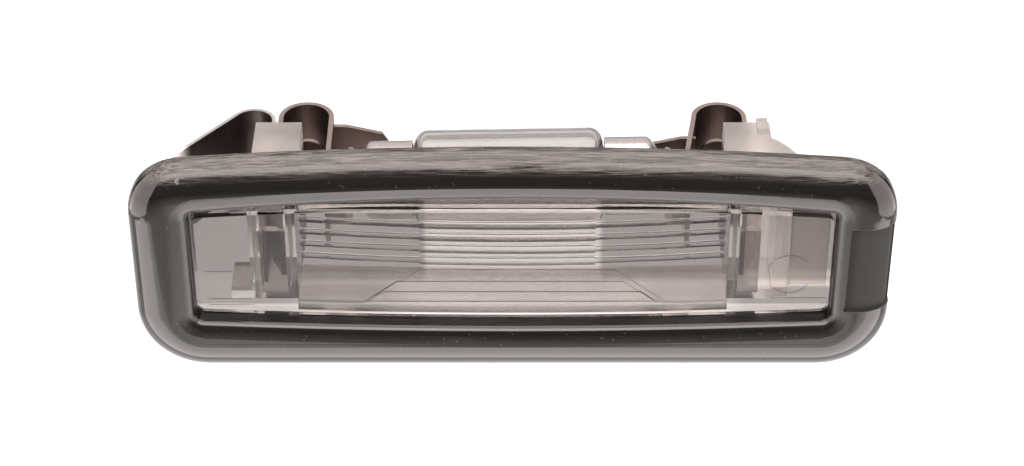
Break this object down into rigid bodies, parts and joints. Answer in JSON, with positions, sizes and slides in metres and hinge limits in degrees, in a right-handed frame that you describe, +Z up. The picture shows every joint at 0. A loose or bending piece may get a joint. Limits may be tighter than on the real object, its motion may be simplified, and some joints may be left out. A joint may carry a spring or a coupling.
{
  "type": "number plate lamp",
  "caption": "Car number plate lamp with a glossy black frame, a clear fluted lens, a festoon bulb in bent bronze contacts and a steel spring clip for the panel.",
  "frame": {"origin": "in the plane on which the frame seats on the car's panel, half-way along the lamp and 0.18 mm above the middle of its two ends", "axes": "X along the lamp, Y out of the back of the lamp into the panel, Z up the lens face, which looks along -Y"},
  "size_m": [0.0834, 0.0283, 0.0284],
  "materials": {
    "frame_black": "glossy black moulded plastic with fine scratches along the top",
    "lens_clear": "clear moulded plastic, slightly smoky",
    "clip_steel": "cold-rolled spring steel",
    "contact_bronze": "dull brown bronze strip",
    "bulb_glass": "clear glass",
    "cap_metal": "nickel-plated cap",
    "cement": "plain bulb cement",
    "solder": "plain solder",
    "wire": "plain lead wire",
    "filament": "dark coiled tungsten"
  },
  "bodies": {
    "root": {"bezel_frame": "frame_black", "lens": "lens_clear", "spring_clip": "clip_steel", "contact_left": "contact_bronze", "contact_right": "contact_bronze", "bulb_glass": "bulb_glass", "bulb_cap_left": "cap_metal", "bulb_cap_right": "cap_metal", "bulb_cement_left": "cement", "bulb_cement_right": "cement", "bulb_solder_left": "solder", "bulb_solder_right": "solder", "bulb_lead_left": "wire", "bulb_lead_right": "wire", "bulb_filament": "filament"}
  },
  "joints": []
}
